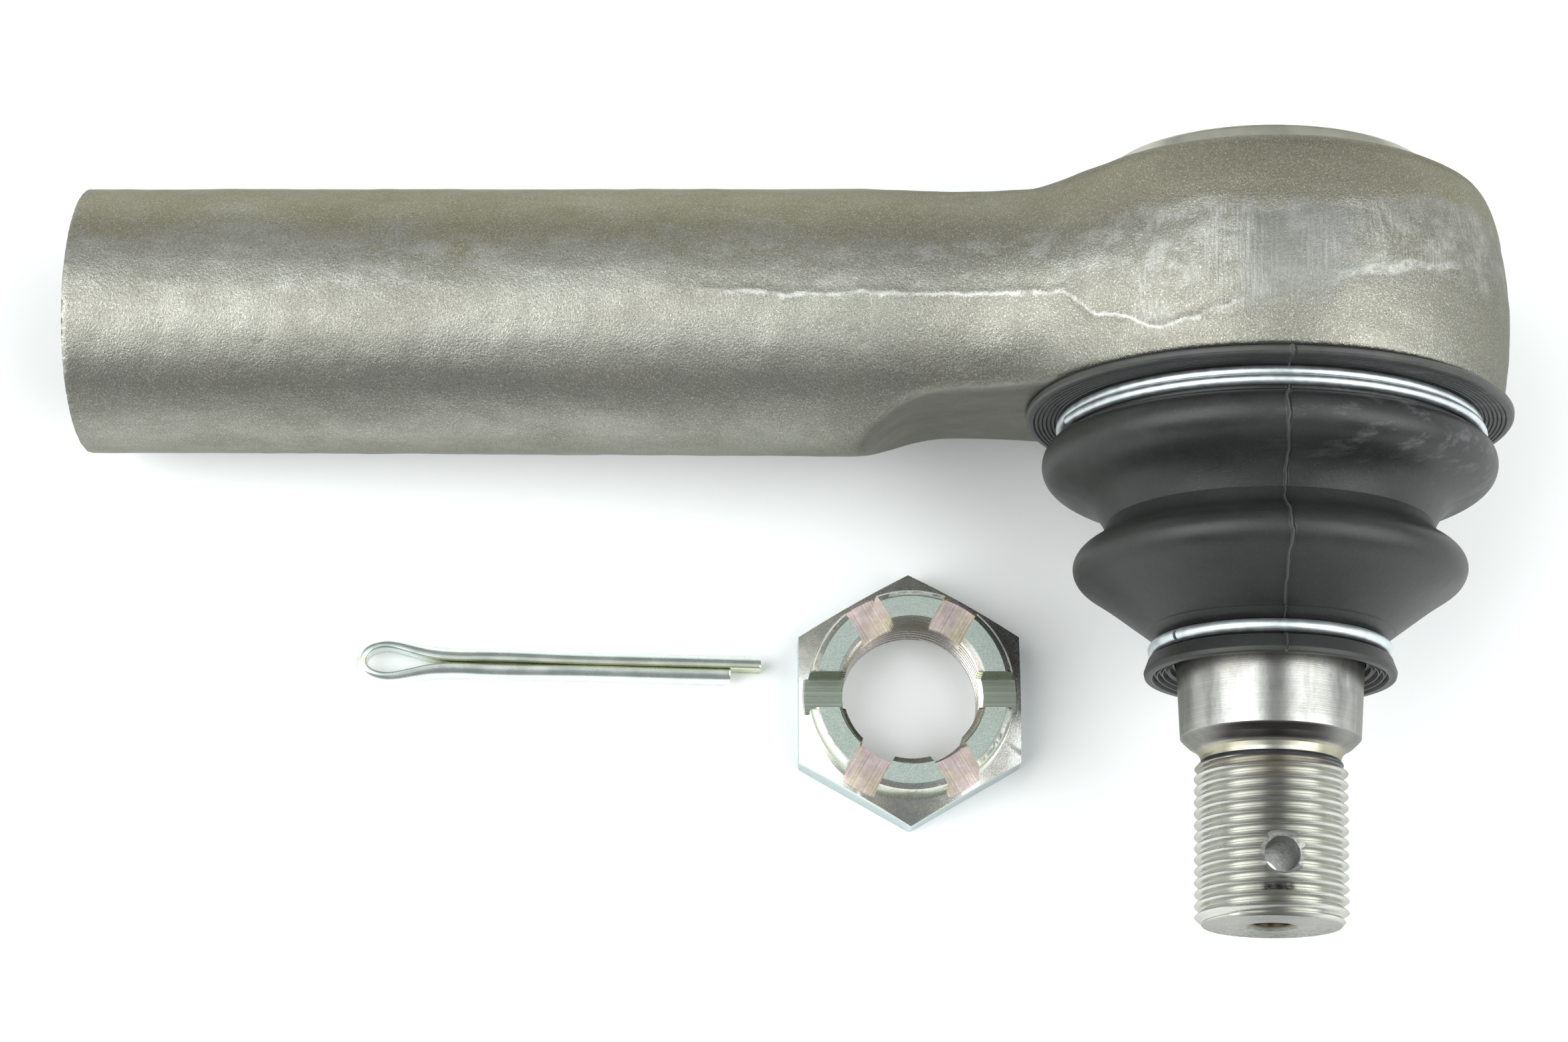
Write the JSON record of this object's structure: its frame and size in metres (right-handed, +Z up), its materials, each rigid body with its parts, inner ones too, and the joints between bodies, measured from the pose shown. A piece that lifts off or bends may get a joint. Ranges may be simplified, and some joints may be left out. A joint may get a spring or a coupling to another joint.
{
  "type": "tie rod end",
  "caption": "Steering tie rod end with a female-threaded forged shank, a booted ball stud, and its loose castle nut and split pin.",
  "frame": {"origin": "middle of the whole footprint, on the surface the joint, nut and split pin lie on", "axes": "+X from the shank's open end towards the head, +Z up from the surface; the stud points along -Y"},
  "size_m": [0.1904, 0.1014, 0.0638],
  "materials": {
    "forged_steel": "shot-blasted forging, matt, lightly oiled",
    "bearing_plastic": "moulded low-friction plastic",
    "spring_steel": "hardened and oiled",
    "seal_rubber": "smooth black rubber",
    "zinc_cap": "pressed steel, zinc plated",
    "boot_rubber": "satin black rubber",
    "zinc_wire": "bright zinc plated spring wire",
    "turned_steel": "turned and ground steel",
    "zinc_nut": "zinc plated, iridescent passivation",
    "zinc_pin": "bright zinc plated half-round wire"
  },
  "bodies": {
    "housing": {"housing": "forged_steel", "bearing_shell_upper": "bearing_plastic", "bearing_shell_lower": "bearing_plastic", "pressure_plate": "spring_steel", "preload_spring": "spring_steel", "cap_seal_ring": "seal_rubber", "closing_cap": "zinc_cap", "boot_flange": "boot_rubber", "boot_clamp_ring": "zinc_wire"},
    "boot_middle": {"boot_upper_fold": "boot_rubber"},
    "boot_end": {"boot_lower_fold": "boot_rubber", "boot_lip": "boot_rubber", "boot_slide_ring": "bearing_plastic", "boot_lip_ring": "zinc_wire"},
    "ball_stud": {"ball_stud": "turned_steel"},
    "castle_nut": {"castle_nut": "zinc_nut"},
    "split_pin": {"split_pin": "zinc_pin"}
  },
  "joints": [
    {"name": "stud_swing_up", "type": "hinge", "parent": "housing", "child": "boot_middle", "pos_m": [0.06337, 0.03004, 0.03158], "axis": [-0.9961, 0, -0.0882], "range_deg": [-15, 15], "deforming": ["boot_upper_fold"]},
    {"name": "stud_swing_side", "type": "hinge", "parent": "boot_middle", "child": "boot_end", "pos_m": [0.06337, 0.03004, 0.03158], "axis": [-0.0882, 0.0246, 0.9958], "range_deg": [-15, 15], "deforming": ["boot_lower_fold"]},
    {"name": "stud_spin", "type": "hinge", "parent": "boot_end", "child": "ball_stud", "pos_m": [0.06337, 0.03004, 0.03158], "axis": [-0.0022, -0.9997, 0.0245], "continuous": true},
    {"name": "nut_lift", "type": "slide", "parent": "housing", "child": "castle_nut", "axis": [0, 0, 1], "range_m": [0, 0.08]},
    {"name": "pin_lift", "type": "slide", "parent": "housing", "child": "split_pin", "axis": [0, 0, 1], "range_m": [0, 0.08]}
  ]
}
